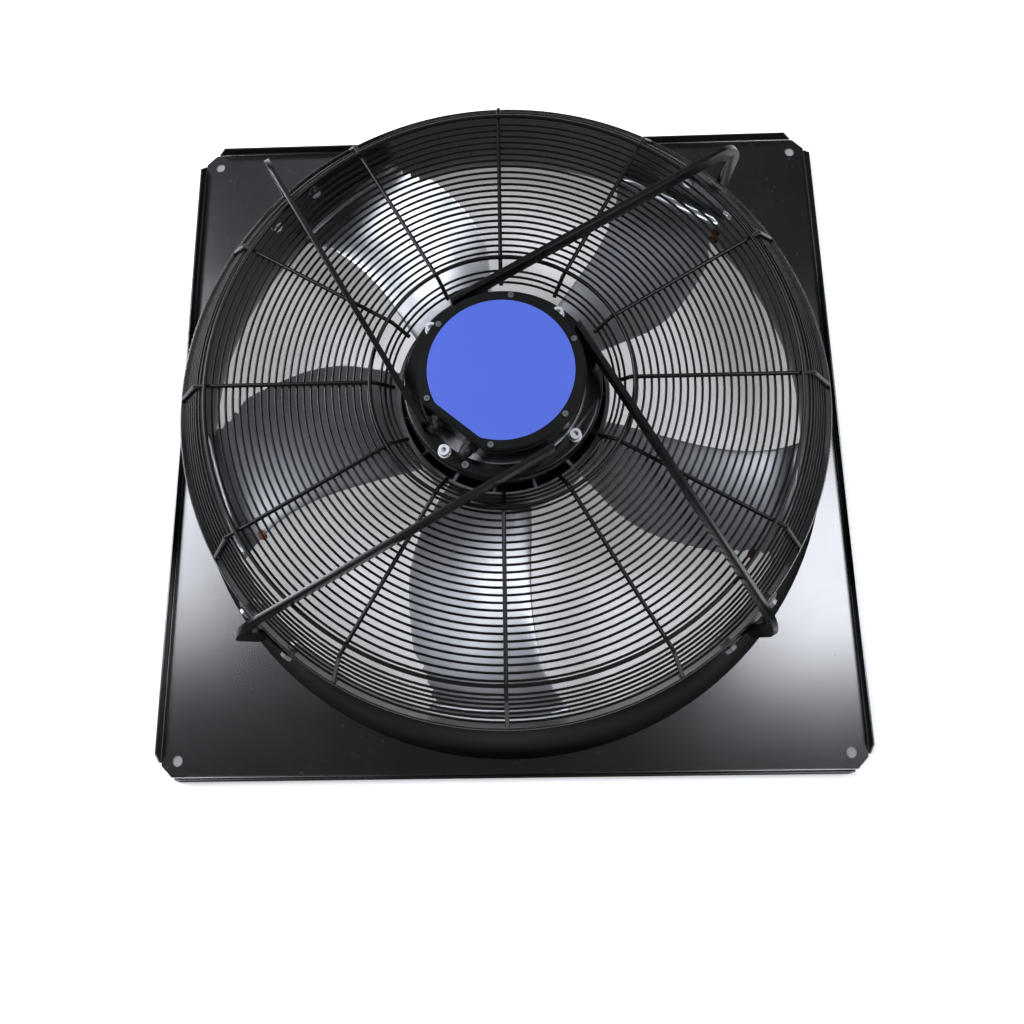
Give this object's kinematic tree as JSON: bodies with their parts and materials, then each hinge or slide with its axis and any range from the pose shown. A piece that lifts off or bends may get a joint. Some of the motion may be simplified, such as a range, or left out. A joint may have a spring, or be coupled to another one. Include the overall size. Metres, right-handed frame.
{
  "type": "industrial axial fan",
  "caption": "Axial fan on a square wall plate: bell-mouth nozzle, wire guard, bent suspension arms, external-rotor motor with a cylindrical housing, and a spinning bladed impeller.",
  "frame": {"origin": "centre of the wall plate's underside, midway between the four corner holes", "axes": "+Z along the fan axis from the wall plate towards the motor housing; X and Y along the plate's edges"},
  "size_m": [0.96, 0.96, 0.2455],
  "materials": {
    "black_paint": "satin black powder coat",
    "black_wire": "satin black powder coat on welded wire",
    "zinc_steel": "bright zinc-plated steel",
    "cast_aluminium": "as-cast aluminium",
    "housing_black": "black painted aluminium",
    "blade_aluminium": "smooth die-cast aluminium",
    "black_plastic": "matte black plastic",
    "label_blue": "printed plastic film, plain blue",
    "seal_rubber": "matte black rubber",
    "board_green": "solder-masked circuit board",
    "capacitor_sleeve": "plastic sleeve over aluminium cans",
    "lamination_steel": "laminated electrical steel",
    "copper": "enamelled copper wire",
    "bearing_steel": "ground bearing steel",
    "spring_steel": "dark spring steel",
    "shaft_steel": "turned steel",
    "magnet_grey": "sintered magnet",
    "clip_brown": "copper-coloured spring steel"
  },
  "bodies": {
    "frame": {"wall_plate": "black_paint", "nozzle_ring": "black_paint", "guard_rings": "black_wire", "guard_spokes": "black_wire", "guard_hoops": "black_wire", "arm_1": "black_paint", "arm_2": "black_paint", "arm_3": "black_paint", "arm_4": "black_paint", "foot_bolts": "zinc_steel", "foot_nuts": "zinc_steel", "motor_ring": "black_paint", "motor_bolts": "zinc_steel", "earth_screw": "zinc_steel", "stator_flange": "cast_aluminium", "electronics_housing": "housing_black", "circuit_board": "board_green", "board_capacitors": "capacitor_sleeve", "lid_gasket": "seal_rubber", "housing_lid": "housing_black", "lid_label": "label_blue", "lid_screws": "zinc_steel", "cable_glands": "black_plastic", "gland_plugs": "seal_rubber", "stator_core": "lamination_steel", "stator_windings": "copper", "lower_bearing": "bearing_steel", "upper_bearing": "bearing_steel", "wave_washer": "spring_steel"},
    "impeller": {"shaft": "shaft_steel", "bearing_inner_rings": "bearing_steel", "shaft_circlip": "spring_steel", "rotor_bell": "housing_black", "rotor_magnets": "magnet_grey", "hub": "blade_aluminium", "hub_screws": "zinc_steel", "blade_1": "blade_aluminium", "blade_2": "blade_aluminium", "blade_3": "blade_aluminium", "blade_4": "blade_aluminium", "blade_5": "blade_aluminium", "balance_clips": "clip_brown"}
  },
  "joints": [
    {"name": "impeller_spin", "type": "hinge", "parent": "frame", "child": "impeller", "pos_m": [0, 0, 0.12], "axis": [0, 0, 1], "continuous": true}
  ]
}
